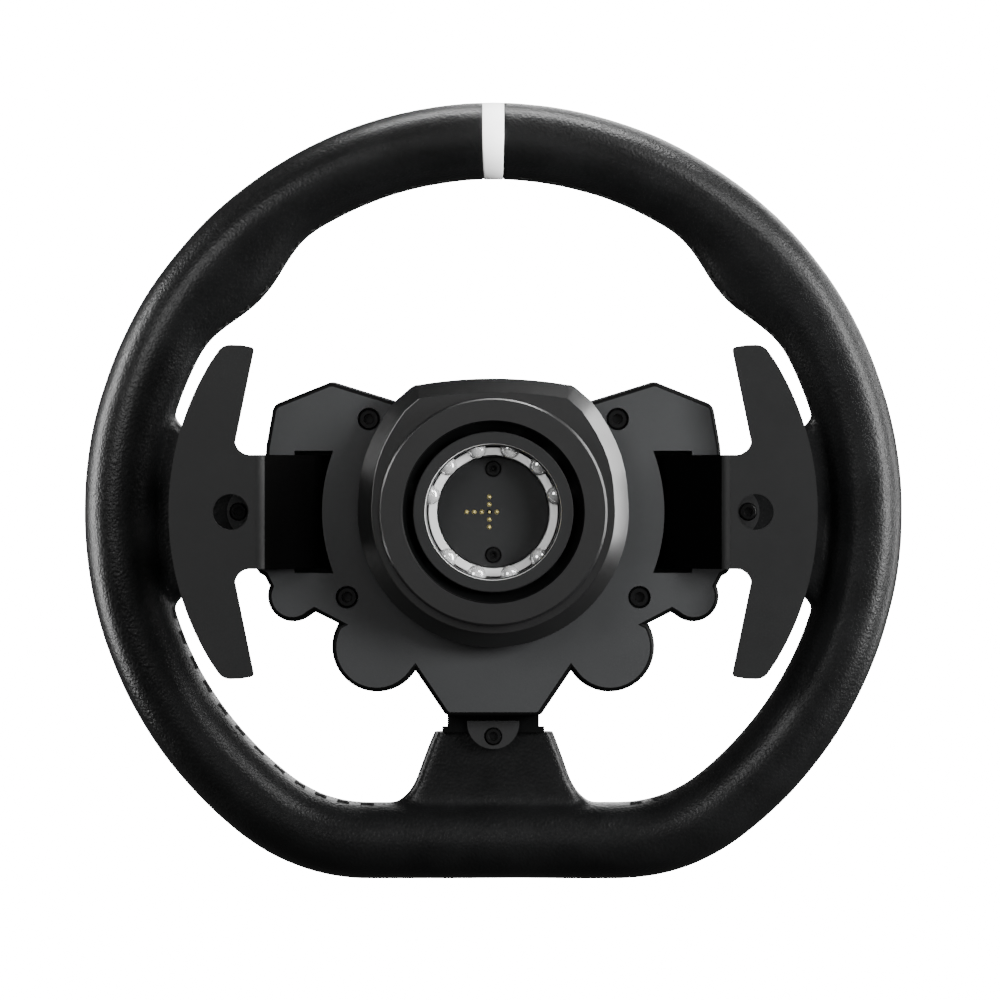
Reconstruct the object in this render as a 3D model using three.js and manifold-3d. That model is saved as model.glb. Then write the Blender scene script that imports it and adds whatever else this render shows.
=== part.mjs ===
// A racing wheel for driving games: a D-shaped leather grip on a metal core, a plastic hub of two
// shells around a metal frame, two shift paddles, ten buttons, two rotary knobs, and a ball-lock
// quick release on the back. Units are millimetres. +X is the right of somebody who looks at the
// back of the wheel, +Z is up and -Y is the back. The origin is the centre of the contact plate.
import * as THREE from 'three';
import { mergeVertices } from 'three/addons/utils/BufferGeometryUtils.js';
import { ParametricGeometry } from 'three/addons/geometries/ParametricGeometry.js';
import Module from 'manifold-3d';

const wasm = await Module();
wasm.setup();

const CLEARANCE = 0.3;
const FULL_TURN = Math.PI * 2;
const degrees = THREE.MathUtils.degToRad;

// Rim: a circle with a flat bottom, joined by two tighter corners.
const RIM_MIDDLE_Y = 33;
const RIM_RADIUS = 127;
const RIM_CORNER_RADIUS = 54.8;
const RIM_CORNER = { x: 43.3, z: -57.7 };
const RIM_CORNER_ANGLE = Math.atan2(-RIM_CORNER.z, RIM_CORNER.x);
const GRIP_HALF_WIDTH = 12.9;
const GRIP_HALF_DEPTH = 15;
const THUMB_BULGE = { height: 6.2, angle: 43, spread: 15 };
const GRIP_STATIONS = 64;
const GRIP_SIDES = 10;
const CORE_HALF_WIDTH = 5;
const CORE_THICKNESS = 4;
const STRIPE_HALF_WIDTH = 3.85;
const STRIPE_THICKNESS = 1.4;
const STRIPE_PROUD = 0.15;

// Spokes of the grip. Each is drawn pointing down, and turned for the other two.
const SPOKE_THICKNESS = 11.4;
const BOTTOM_SPOKE_END = 75.3;
const SIDE_SPOKE_END = 85.6;
const SPOKE_HALF_WIDTH = 20.2;
const SPOKE_CORE_HALF_WIDTH = 12;
const BOTTOM_SCREW = 76.5;
const SIDE_SCREW = 86.8;
const SPOKE_TAB_RADIUS = 8.9;
const TAB_TO_SCREW = 5;
const ARM_HALF_WIDTH = 15.5;
const BOTTOM_SPOKE_ROOT = 111;
const SIDE_SPOKE_ROOT = 122;

// Hub shells, from the back to the front.
const COVER_BACK_Y = 12;
const SHELL_WALL = 2.4;
const FRAME_BACK_Y = 23;
const FRAME_FRONT_Y = 27;
const SHELL_FRONT_Y = 46;
const BOARD_BACK_Y = 35.2;
const BOARD_THICKNESS = 1.6;
const COVER_HOLE_RADIUS = 32;
const COVER_SCREW_SEAT_Y = 17;
const SHELL_BOSS_RADIUS = 4.6;
const FRAME_EAR_RADIUS = 5.4;
const COVER_SCREWS = [[42.1, 31.4], [49.5, -28.9]];
const COVER_SCREW_HOLE = 2.3;
const SMALL_SCREW_HOLE = 1.8;
const KNOB_SHAFT_HOLE = 3.4;
const POCKET = { innerRadius: 58, outerX: 67.2, halfHeight: 20.2 };

// Quick release.
const CAGE = { inner: 22.2, outer: 24.9, flange: 26.8, endY: -14, flangeY: -12.2, footY: 5.7 };
const BALL_RADIUS = 3.3;
const BALL_CENTRE_RADIUS = 21.9;
const BALL_Y = -8;
const BALL_ANGLES = [15, 45, 75, 105, 135, 165, 225, 255, 285, 315];
const RAMP_SLOPE = 0.74;
const RAMP_RADIUS_AT_BALLS = 26.3;
const COLLAR = { bore: 25.4, mouth: 30.2, ring: 37.9, flange: 45.5, ringY: -15, faceY: -2, backY: 6 };
const COLLAR_BEVEL = 4.3;
const SPRING = { bottomY: 2.6, topY: 15.8, radius: 28.3, wire: 0.8, turns: 3 };
const PLATE_RADIUS = 18.6;
const PLATE_THICKNESS = 2.2;
const PLATE_SCREW_Z = 14.5;
const PIN_PITCH = 2.54;

// Paddles: a blade behind the rim, a sloping web, and a tail on a swinging arm inside the hub.
const PADDLE_THICKNESS = 2;
const BLADE_Y = -5;
const BEND_X = 78.4;
const WEB_HALF_HEIGHT = 19.15;
const TAIL_Y = 18.4;
const TAIL_BEND_X = 56;
const TAIL_END_X = 50.2;
const PADDLE_HOLE = { x: 87.9, radius: 6 };
const PIVOT = { x: 46, y: 18.5, radius: 1.5 };

// Controls on the driver's side.
const BUTTON_PLACES = [[67.5, 24], [54.5, 30.5], [63, 3], [45, 3], [68, -28.6]];
const BUTTON_RADIUS = 4.8;
const BUTTON_FLANGE_RADIUS = 5.5;
const KNOB_PLACE = [39.5, -45.5];
const KNOB_RADIUS = 10.2;
const LIGHT_BAR = { halfLength: 27, halfHeight: 2.6, z: 30 };
const BADGE_RADIUS = 17;
const BADGE_SEAT_Y = 45;
const LIGHT_BAR_SEAT_Y = 44.2;

const material = (color, roughness, metalness) =>
  new THREE.MeshStandardMaterial({ color, roughness, metalness });
const leather = material(0x151516, 0.6, 0);
const stripeLeather = material(0xececec, 0.5, 0);
const shellPlastic = material(0x3c3c3e, 0.55, 0);
const blackPlastic = material(0x1c1c1e, 0.5, 0);
const blackMetal = material(0x2b2b2d, 0.45, 0.6);
const steel = material(0xc8c8c8, 0.25, 1);
const darkSteel = material(0x303032, 0.35, 0.8);
const gold = material(0xd9b24a, 0.3, 1);
const boardGreen = material(0x16402c, 0.6, 0);
const lens = material(0x202024, 0.15, 0);

const wheel = new THREE.Group();

// ---------------------------------------------------------------- helpers

function signedVolume(position, index) {
  const corners = [new THREE.Vector3(), new THREE.Vector3(), new THREE.Vector3()];
  let volume = 0;
  for (let i = 0; i < index.length; i += 3) {
    corners.forEach((corner, k) => corner.fromBufferAttribute(position, index[i + k]));
    volume += corners[0].dot(corners[1].clone().cross(corners[2])) / 6;
  }
  return volume;
}

function withoutThinTriangles(index) {
  const kept = [];
  for (let i = 0; i < index.length; i += 3) {
    const [a, b, c] = index.slice(i, i + 3);
    if (a !== b && b !== c && a !== c) kept.push(a, b, c);
  }
  return kept;
}

// Turns a closed three.js geometry into a manifold solid, with its faces pointing out.
function solid(geometry) {
  const bare = geometry.clone();
  bare.deleteAttribute('normal');
  bare.deleteAttribute('uv');
  const merged = mergeVertices(bare, 1e-3);
  const triangles = withoutThinTriangles(Array.from(merged.index.array));
  if (signedVolume(merged.attributes.position, triangles) < 0) triangles.reverse();
  return new wasm.Manifold(new wasm.Mesh({
    numProp: 3,
    vertProperties: merged.attributes.position.array,
    triVerts: Uint32Array.from(triangles),
  }));
}

function addPart(name, shape, look) {
  const mesh = shape.getMesh();
  const geometry = new THREE.BufferGeometry();
  geometry.setAttribute('position', new THREE.BufferAttribute(mesh.vertProperties, 3));
  geometry.setIndex(Array.from(mesh.triVerts));
  geometry.computeVertexNormals();
  const part = new THREE.Mesh(geometry, look);
  part.name = name;
  wheel.add(part);
}

const unite = (shapes) => shapes.reduce((whole, piece) => whole.add(piece));

// A cylinder whose axis is parallel to Y, between two heights.
function discY(radius, fromY, toY, x = 0, z = 0, sides = 20) {
  const geometry = new THREE.CylinderGeometry(radius, radius, toY - fromY, sides);
  return solid(geometry.translate(x, (fromY + toY) / 2, z));
}

function box(x0, x1, y0, y1, z0, z1) {
  const geometry = new THREE.BoxGeometry(x1 - x0, y1 - y0, z1 - z0);
  return solid(geometry.translate((x0 + x1) / 2, (y0 + y1) / 2, (z0 + z1) / 2));
}

// An outline in X and Z, thickened along Y.
function plateY(shape, fromY, toY, curveSegments = 8) {
  const settings = { depth: toY - fromY, bevelEnabled: false, curveSegments };
  const geometry = new THREE.ExtrudeGeometry(shape, settings);
  return solid(geometry.rotateX(Math.PI / 2).translate(0, toY, 0));
}

const shapeOf = (points) => new THREE.Shape(points.map(([x, z]) => new THREE.Vector2(x, z)));

// A closed profile of radius and height, turned about the Y axis.
function latheY(profile, segments = 32) {
  const points = [...profile, profile[0]].map(([radius, y]) => new THREE.Vector2(radius, y));
  return solid(new THREE.LatheGeometry(points, segments));
}

const mirrored = (shape) => shape.mirror([1, 0, 0]);

// Calls make(name of the side, function that moves a right-hand solid to that side, sign of X).
function onBothSides(make) {
  make('right', (shape) => shape, 1);
  make('left', mirrored, -1);
}

// ---------------------------------------------------------------- rim

// The D outline at a distance outside the middle line of the rim.
function rimOutline(offset) {
  const outline = new THREE.Shape();
  const { x, z } = RIM_CORNER;
  const corner = RIM_CORNER_RADIUS + offset;
  outline.absarc(0, 0, RIM_RADIUS + offset, -RIM_CORNER_ANGLE, Math.PI + RIM_CORNER_ANGLE);
  outline.absarc(-x, z, corner, Math.PI + RIM_CORNER_ANGLE, Math.PI * 1.5);
  outline.absarc(x, z, corner, -Math.PI / 2, -RIM_CORNER_ANGLE);
  return outline;
}

const rimPath = new THREE.Path();
rimPath.curves = rimOutline(0).curves;
rimPath.closePath();
rimPath.arcLengthDivisions = 2000;

// How far the thumb rest stands inwards at a point of the rim.
function thumbBulge(x, z) {
  const angle = THREE.MathUtils.radToDeg(Math.atan2(z, Math.abs(x)));
  const reach = Math.abs(angle - THUMB_BULGE.angle) / THUMB_BULGE.spread;
  return reach < 1 ? THUMB_BULGE.height * Math.cos((reach * Math.PI) / 2) ** 2 : 0;
}

// The grip's tube, thickened all round by an amount.
function gripTube(extra) {
  const sweep = (u, v, target) => {
    const at = rimPath.getPointAt(u % 1);
    const along = rimPath.getTangentAt(u % 1);
    const outward = new THREE.Vector2(along.y, -along.x);
    const turn = (v % 1) * FULL_TURN;
    const inner = Math.cos(turn) < 0 ? thumbBulge(at.x, at.y) : 0;
    const radial = (GRIP_HALF_WIDTH + extra + inner) * Math.cos(turn);
    const depth = (GRIP_HALF_DEPTH + extra) * Math.sin(turn);
    target.set(at.x + outward.x * radial, RIM_MIDDLE_Y + depth, at.y + outward.y * radial);
  };
  return solid(new ParametricGeometry(sweep, GRIP_STATIONS, GRIP_SIDES));
}

// A leather covered spoke that points down, widening into the rim with round corners.
function spokePad(end, root) {
  const shape = new THREE.Shape();
  shape.moveTo(-SPOKE_HALF_WIDTH, -end);
  shape.quadraticCurveTo(-27, -end - 18, -36, -root);
  shape.lineTo(36, -root);
  shape.quadraticCurveTo(27, -end - 18, SPOKE_HALF_WIDTH, -end);
  const half = SPOKE_THICKNESS / 2;
  return plateY(shape, RIM_MIDDLE_Y - half, RIM_MIDDLE_Y + half, 5);
}

const turnedToSide = (shape, sign) => shape.rotate([0, sign * -90, 0]);

function coreShape(extra) {
  const ring = rimOutline(CORE_HALF_WIDTH + extra);
  ring.holes.push(rimOutline(-CORE_HALF_WIDTH - extra));
  const backY = RIM_MIDDLE_Y - CORE_THICKNESS / 2 - extra;
  const frontY = RIM_MIDDLE_Y + CORE_THICKNESS / 2 + extra;
  const width = SPOKE_CORE_HALF_WIDTH + extra;
  const bottom = box(-width, width, backY, frontY, -113, -73 + extra);
  const side = box(82.5 - extra, RIM_RADIUS, backY, frontY, -width, width);
  return unite([plateY(ring, backY, frontY, 10), bottom, side, mirrored(side)]);
}

const spokeScrewHoles = (radius, fromY, toY) => unite([
  discY(radius, fromY, toY, 0, -BOTTOM_SCREW, 8),
  discY(radius, fromY, toY, SIDE_SCREW, 0, 8),
  discY(radius, fromY, toY, -SIDE_SCREW, 0, 8),
]);

function addRim() {
  const holes = spokeScrewHoles(2.3, 0, 60);
  const core = coreShape(0).subtract(spokeScrewHoles(SMALL_SCREW_HOLE, 0, 60));
  addPart('rim_core', core, darkSteel);

  const pads = unite([
    spokePad(BOTTOM_SPOKE_END, BOTTOM_SPOKE_ROOT),
    turnedToSide(spokePad(SIDE_SPOKE_END, SIDE_SPOKE_ROOT), 1),
    turnedToSide(spokePad(SIDE_SPOKE_END, SIDE_SPOKE_ROOT), -1),
  ]);
  const slab = (half) => box(-half, half, 0, 60, 100, 150);
  const groove = slab(STRIPE_HALF_WIDTH + CLEARANCE)
    .subtract(gripTube(STRIPE_PROUD - STRIPE_THICKNESS - CLEARANCE));
  const grip = gripTube(0).add(pads).subtract(coreShape(CLEARANCE)).subtract(holes)
    .subtract(groove);
  addPart('leather_grip', grip, leather);

  const stripe = gripTube(STRIPE_PROUD).intersect(slab(STRIPE_HALF_WIDTH))
    .subtract(gripTube(STRIPE_PROUD - STRIPE_THICKNESS));
  addPart('centre_stripe', stripe, stripeLeather);
}

// ---------------------------------------------------------------- screws

// A socket-head cap screw pointing to +Y. headY is the outer face of the head.
function capScrew({ x, z, headY, headRadius, headHeight, shankRadius, tipY, socketRadius }) {
  const head = discY(headRadius, headY, headY + headHeight, x, z, 12);
  const shank = discY(shankRadius, headY + headHeight / 2, tipY, x, z, 8);
  const socket = discY(socketRadius, headY - 1, headY + headHeight * 0.6, x, z, 6);
  return head.add(shank).subtract(socket);
}

function addSpokeScrews() {
  const size = { headY: 22.2, headRadius: 2.8, headHeight: 2.6, shankRadius: 1.5, tipY: 36.5,
    socketRadius: 1.5 };
  const places = { bottom: [0, -BOTTOM_SCREW], right: [SIDE_SCREW, 0], left: [-SIDE_SCREW, 0] };
  for (const [side, [x, z]] of Object.entries(places)) {
    addPart(`spoke_screw_${side}`, capScrew({ x, z, ...size }), darkSteel);
  }
}

function addCoverScrews() {
  const size = { headY: 13.1, headRadius: 3.4, headHeight: 3.6, shankRadius: 2, tipY: 33.8,
    socketRadius: 1.8 };
  const row = ['upper', 'lower'];
  onBothSides((side, move) => {
    COVER_SCREWS.forEach(([x, z], i) => {
      addPart(`cover_screw_${row[i]}_${side}`, move(capScrew({ x, z, ...size })), darkSteel);
    });
  });
}

// ---------------------------------------------------------------- hub shells

function arcPoints(x, z, radius, fromDegrees, toDegrees, steps) {
  return Array.from({ length: steps + 1 }, (_, i) => {
    const angle = degrees(fromDegrees + ((toDegrees - fromDegrees) * i) / steps);
    return [x + radius * Math.cos(angle), z + radius * Math.sin(angle)];
  });
}

// The right half of the hub outline, from the top centre down to the bottom centre.
const hubHalf = [
  [33.4, 37.3],
  ...arcPoints(54.6, 39.7, 4, 112, 62, 2),
  [72.8, 35.7],
  [75.2, 32.6],
  [76.8, 22.5],
  [80.1, -19.4],
  [76.6, -22.5],
  ...arcPoints(68, -28.6, 8.3, 24, -143, 5),
  [60.3, -33.2],
  [51.4, -37.7],
  ...arcPoints(39.5, -45.9, 14.9, 30, -148, 7),
  [26.9, -52.5],
  [15.2, -69.1],
];

const hubOutline = [...hubHalf, ...hubHalf.map(([x, z]) => [-x, z]).reverse()];

// Moves every edge of a clockwise outline inwards and joins the moved edges again.
function inset(points, distance) {
  const count = points.length;
  return points.map((point, i) => {
    const before = points[(i + count - 1) % count];
    const after = points[(i + 1) % count];
    const normals = [[before, point], [point, after]].map(([from, to]) => {
      const edge = new THREE.Vector2(to[0] - from[0], to[1] - from[1]).normalize();
      return new THREE.Vector2(edge.y, -edge.x);
    });
    const middle = normals[0].clone().add(normals[1]).normalize();
    const reach = distance / Math.max(middle.dot(normals[0]), 0.5);
    return [point[0] + middle.x * reach, point[1] + middle.y * reach];
  });
}

function addBackCover() {
  const tray = plateY(shapeOf(hubOutline), COVER_BACK_Y, FRAME_BACK_Y - CLEARANCE);
  const hollow = plateY(shapeOf(inset(hubOutline, SHELL_WALL)), COVER_BACK_Y + SHELL_WALL, 30);
  let cover = tray.subtract(hollow);
  const lugSize = { x: 3.4, fromZ: 15.2, toZ: 19.4 };
  onBothSides((side, move) => {
    for (const [x, z] of COVER_SCREWS) {
      const boss = discY(5.4, COVER_BACK_Y + 1, FRAME_BACK_Y - CLEARANCE, x, z, 12);
      cover = cover.add(move(boss));
      cover = cover.subtract(move(discY(3.76, COVER_BACK_Y - 1, COVER_SCREW_SEAT_Y, x, z, 12)));
      cover = cover.subtract(move(discY(COVER_SCREW_HOLE, 16, 30, x, z, 8)));
    }
    for (const sign of [1, -1]) {
      const ends = [sign * lugSize.fromZ, sign * lugSize.toZ].sort((a, b) => a - b);
      const lug = box(PIVOT.x - lugSize.x, PIVOT.x + lugSize.x, COVER_BACK_Y + 1, 22.4, ...ends);
      cover = cover.add(move(lug));
    }
    cover = cover.subtract(move(pinZ(PIVOT.radius + CLEARANCE, 18.9 + CLEARANCE)));
    const window = box(50, POCKET.outerX, 0, 22, -POCKET.halfHeight, POCKET.halfHeight)
      .subtract(discY(POCKET.innerRadius, -1, 30, 0, 0, 64));
    cover = cover.subtract(move(window));
  });
  cover = cover.subtract(discY(COVER_HOLE_RADIUS, 0, 30, 0, 0, 32));
  addPart('back_cover', cover, shellPlastic);
}

function addFrontShell() {
  const outline = inset(hubOutline, -0.5);
  const backY = FRAME_FRONT_Y + CLEARANCE;
  const plateBackY = SHELL_FRONT_Y - SHELL_WALL;
  const hollow = plateY(shapeOf(inset(hubOutline, SHELL_WALL)), 20, plateBackY);
  const wall = plateY(shapeOf(outline), FRAME_BACK_Y, SHELL_FRONT_Y);
  let shell = wall.subtract(hollow).subtract(frameArms(CLEARANCE));
  onBothSides((side, move) => {
    for (const [x, z] of COVER_SCREWS) {
      shell = shell.add(move(discY(SHELL_BOSS_RADIUS, backY, plateBackY + 1, x, z, 12)));
      shell = shell.subtract(move(discY(COVER_SCREW_HOLE, 20, 34.3, x, z, 8)));
    }
    for (const [x, z] of BUTTON_PLACES) {
      shell = shell.subtract(move(discY(BUTTON_RADIUS + CLEARANCE, 40, 50, x, z, 14)));
    }
    shell = shell.subtract(move(discY(KNOB_SHAFT_HOLE, 40, 50, ...KNOB_PLACE, 12)));
  });
  const { halfLength, halfHeight, z } = LIGHT_BAR;
  const slot = box(-halfLength, halfLength, LIGHT_BAR_SEAT_Y, 50, z - halfHeight, z + halfHeight);
  shell = shell.subtract(slot).subtract(discY(BADGE_RADIUS, BADGE_SEAT_Y, 50, 0, 0, 24));
  addPart('front_shell', shell, shellPlastic);
}

function addFrontTrim() {
  const { halfLength, halfHeight, z } = LIGHT_BAR;
  const gap = CLEARANCE;
  const bar = box(-halfLength + gap, halfLength - gap, LIGHT_BAR_SEAT_Y + gap, 46.6,
    z - halfHeight + gap, z + halfHeight - gap);
  addPart('light_bar', bar, lens);
  addPart('front_badge', discY(BADGE_RADIUS - gap, BADGE_SEAT_Y + gap, 47, 0, 0, 24), blackPlastic);
}

// The three arms of the metal frame, which pass between the shells, thickened by an amount.
function frameArms(extra) {
  const half = ARM_HALF_WIDTH + extra;
  const layer = [FRAME_BACK_Y - extra, FRAME_FRONT_Y + extra];
  const side = box(0, SIDE_SCREW - TAB_TO_SCREW + 0.7 + extra, ...layer, -half, half);
  return unite([box(-half, half, ...layer, -72.6 - extra, 0), side, mirrored(side)]);
}

// The metal plate between the shells. Its three arms end in tabs on the leather spokes.
function addHubFrame() {
  const layer = [FRAME_BACK_Y, FRAME_FRONT_Y];
  const tabCentre = (screw) => screw - TAB_TO_SCREW;
  const tabs = [
    frameArms(0),
    box(-17.3, 17.3, ...layer, -74.8, -72.6),
    discY(SPOKE_TAB_RADIUS, ...layer, 0, -tabCentre(BOTTOM_SCREW), 24),
  ];
  const middle = [discY(44, ...layer, 0, 0, 32)];
  onBothSides((side, move) => {
    tabs.push(move(discY(SPOKE_TAB_RADIUS, ...layer, tabCentre(SIDE_SCREW), 0, 24)));
    for (const [x, z] of COVER_SCREWS) {
      middle.push(move(discY(FRAME_EAR_RADIUS, ...layer, x, z, 12)));
      middle.push(move(box(x - 14, x, ...layer, z - FRAME_EAR_RADIUS, z + FRAME_EAR_RADIUS)));
    }
  });
  const inside = plateY(shapeOf(inset(hubOutline, SHELL_WALL + CLEARANCE)), ...layer);
  let frame = unite(middle).intersect(inside).add(unite(tabs));
  frame = frame.subtract(discY(14, 20, 30, 0, 0, 24));
  frame = frame.subtract(spokeScrewHoles(3.1, 20, 25))
    .subtract(spokeScrewHoles(SMALL_SCREW_HOLE, 20, 30));
  onBothSides((side, move) => {
    for (const [x, z] of COVER_SCREWS) {
      frame = frame.subtract(move(discY(COVER_SCREW_HOLE, 20, 30, x, z, 12)));
    }
  });
  addPart('hub_frame', frame, blackMetal);
}

// The circuit board with the switches and encoder bodies that are soldered to it.
function addMainBoard() {
  const frontY = BOARD_BACK_Y + BOARD_THICKNESS;
  let board = plateY(shapeOf(inset(hubOutline, SHELL_WALL + 0.6)), BOARD_BACK_Y, frontY);
  onBothSides((side, move) => {
    for (const [screwX, screwZ] of COVER_SCREWS) {
      board = board.subtract(move(discY(SHELL_BOSS_RADIUS + 0.4, 30, 50, screwX, screwZ, 12)));
    }
    const [x, z] = KNOB_PLACE;
    board = board.add(move(box(x - 6, x + 6, frontY - 0.5, 42, z - 6, z + 6)));
    board = board.subtract(move(discY(KNOB_SHAFT_HOLE, frontY + 0.5, 50, x, z, 12)));
  });
  const plug = box(-7, 7, 30, BOARD_BACK_Y + 0.5, -5, 5);
  addPart('main_board', board.add(plug), boardGreen);
}

// ---------------------------------------------------------------- quick release

function addHubAdapter() {
  const adapter = latheY([
    [11, 2.6], [CAGE.inner - CLEARANCE, 2.6], [CAGE.inner - CLEARANCE, CAGE.footY + CLEARANCE],
    [CAGE.outer, CAGE.footY + CLEARANCE], [CAGE.outer, 16.8], [33.5, 16.8], [33.5, 22.7], [11, 22.7],
  ]);
  const screwHoles = discY(SMALL_SCREW_HOLE, 0, 12, 0, PLATE_SCREW_Z, 8)
    .add(discY(SMALL_SCREW_HOLE, 0, 12, 0, -PLATE_SCREW_Z, 8));
  addPart('hub_adapter', adapter.subtract(screwHoles), blackMetal);
}

function radialHole(angle) {
  const length = 8;
  const hole = new THREE.CylinderGeometry(BALL_RADIUS + CLEARANCE, BALL_RADIUS + CLEARANCE,
    length, 8);
  hole.rotateZ(Math.PI / 2).translate(BALL_CENTRE_RADIUS + 1, BALL_Y, 0);
  return solid(hole.rotateY(-degrees(angle)));
}

function addBallCage() {
  let cage = latheY([
    [CAGE.inner, CAGE.endY], [CAGE.flange, CAGE.endY], [CAGE.flange, CAGE.flangeY],
    [CAGE.outer, CAGE.flangeY], [CAGE.outer, CAGE.footY], [CAGE.inner, CAGE.footY],
  ]);
  for (const angle of BALL_ANGLES) cage = cage.subtract(radialHole(angle));
  addPart('ball_cage', cage, blackMetal);
}

function addBalls() {
  BALL_ANGLES.forEach((angle, i) => {
    const ball = new THREE.SphereGeometry(BALL_RADIUS, 8, 6);
    ball.translate(BALL_CENTRE_RADIUS, BALL_Y, 0).rotateY(-degrees(angle));
    addPart(`ball_${String(i + 1).padStart(2, '0')}`, solid(ball), steel);
  });
}

function addContactPlate() {
  const plateBackY = PLATE_THICKNESS;
  const ring = latheY([
    [PLATE_RADIUS + CLEARANCE, 0.2], [CAGE.inner - CLEARANCE, 0.2],
    [CAGE.inner - CLEARANCE, plateBackY], [PLATE_RADIUS + CLEARANCE, plateBackY],
  ]);
  addPart('locating_ring', ring, steel);

  const row = [-3.5, -2.5, -1.5, -0.5, 0.5].map((step) => [step * PIN_PITCH, 0]);
  const column = [-2, -1, 1, 2].map((step) => [-0.5 * PIN_PITCH, step * PIN_PITCH]);
  const pinPlaces = [...row, ...column];
  let plate = discY(PLATE_RADIUS, 0, plateBackY, 0, 0, 32);
  for (const [x, z] of pinPlaces) plate = plate.subtract(discY(0.85, -1, 5, x, z, 6));
  for (const z of [PLATE_SCREW_Z, -PLATE_SCREW_Z]) {
    plate = plate.subtract(discY(2.86, -1, 1.4, 0, z, 12))
      .subtract(discY(SMALL_SCREW_HOLE, -1, 5, 0, z, 8));
  }
  addPart('contact_plate', plate, blackPlastic);

  const pins = pinPlaces.map(([x, z]) => discY(0.5, -0.5, 4, x, z, 6));
  addPart('contact_pins', discY(10, 3.4, 4.6, 0, 0, 16).add(unite(pins)), gold);

  const size = { x: 0, headY: 0.3, headRadius: 2.55, headHeight: 0.9, shankRadius: 1.5, tipY: 10,
    socketRadius: 1.3 };
  addPart('plate_screw_upper', capScrew({ z: PLATE_SCREW_Z, ...size }), darkSteel);
  addPart('plate_screw_lower', capScrew({ z: -PLATE_SCREW_Z, ...size }), darkSteel);
}

function addCollarSpring() {
  class Helix extends THREE.Curve {
    getPoint(t, target = new THREE.Vector3()) {
      const turn = t * SPRING.turns * FULL_TURN;
      const y = SPRING.bottomY + (SPRING.topY - SPRING.bottomY) * t;
      return target.set(SPRING.radius * Math.cos(turn), y, SPRING.radius * Math.sin(turn));
    }
  }
  const wire = new THREE.Shape().absarc(0, 0, SPRING.wire, 0, FULL_TURN);
  const settings = { steps: 36, curveSegments: 2, extrudePath: new Helix(), bevelEnabled: false };
  addPart('collar_spring', solid(new THREE.ExtrudeGeometry(wire, settings)), steel);
}

// The flange outline: a half circle below, straight flanks above, and a flat-topped arch.
function collarOutline(shrink) {
  const side = [[43.4, 19], [38, 31], [33, 37], [26.7, 42.5]];
  const crown = arcPoints(0, -105.1, 150, 90 - 10.2, 90, 3).slice(1);
  const right = [...arcPoints(0, 0, COLLAR.flange, -90, 14, 12), ...side, ...crown];
  const outline = [...right, ...right.slice(1, -1).map(([x, z]) => [-x, z]).reverse()];
  return inset(outline.reverse(), shrink);
}

function addReleaseCollar() {
  const straight = plateY(shapeOf(collarOutline(0)), COLLAR.faceY + 2.5, COLLAR.backY);
  const face = plateY(shapeOf(collarOutline(COLLAR_BEVEL)), COLLAR.faceY, COLLAR.faceY + 3);
  const ring = latheY([[20, COLLAR.ringY + 1.2], [20, COLLAR.ringY],
    [COLLAR.ring - 1.2, COLLAR.ringY], [COLLAR.ring, COLLAR.ringY + 1.2], [COLLAR.ring, 0],
    [20, 0]]);
  const rampStart = BALL_Y + (RAMP_RADIUS_AT_BALLS - COLLAR.bore) / RAMP_SLOPE;
  const mouthY = BALL_Y - (COLLAR.mouth - RAMP_RADIUS_AT_BALLS) / RAMP_SLOPE;
  const bore = latheY([[0, -20], [COLLAR.mouth, -20], [COLLAR.mouth, mouthY],
    [COLLAR.bore, rampStart], [COLLAR.bore, -3.5], [31, -3.5], [31, 10], [0, 10]]);
  addPart('release_collar', unite([straight, face, ring]).subtract(bore), blackMetal);
}

// ---------------------------------------------------------------- paddles

// A cylinder on the paddle's pivot line, parallel to Z.
function pinZ(radius, halfLength) {
  const pin = new THREE.CylinderGeometry(radius, radius, halfLength * 2, 14);
  return solid(pin.rotateX(Math.PI / 2).translate(PIVOT.x, PIVOT.y, 0));
}

function bladeShape() {
  const upper = [
    [BEND_X, WEB_HALF_HEIGHT],
    ...arcPoints(81.4, 24.3, 5, -90, -10, 3),
    [80.1, 53.9],
    [80.6, 55.3],
    [88.7, 55.9],
    [91.2, 54.8],
  ];
  const outer = arcPoints(12.2, 0, 96.5, 32, -32, 16);
  return shapeOf([...upper, ...outer, ...upper.map(([x, z]) => [x, -z]).reverse()]);
}

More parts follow.
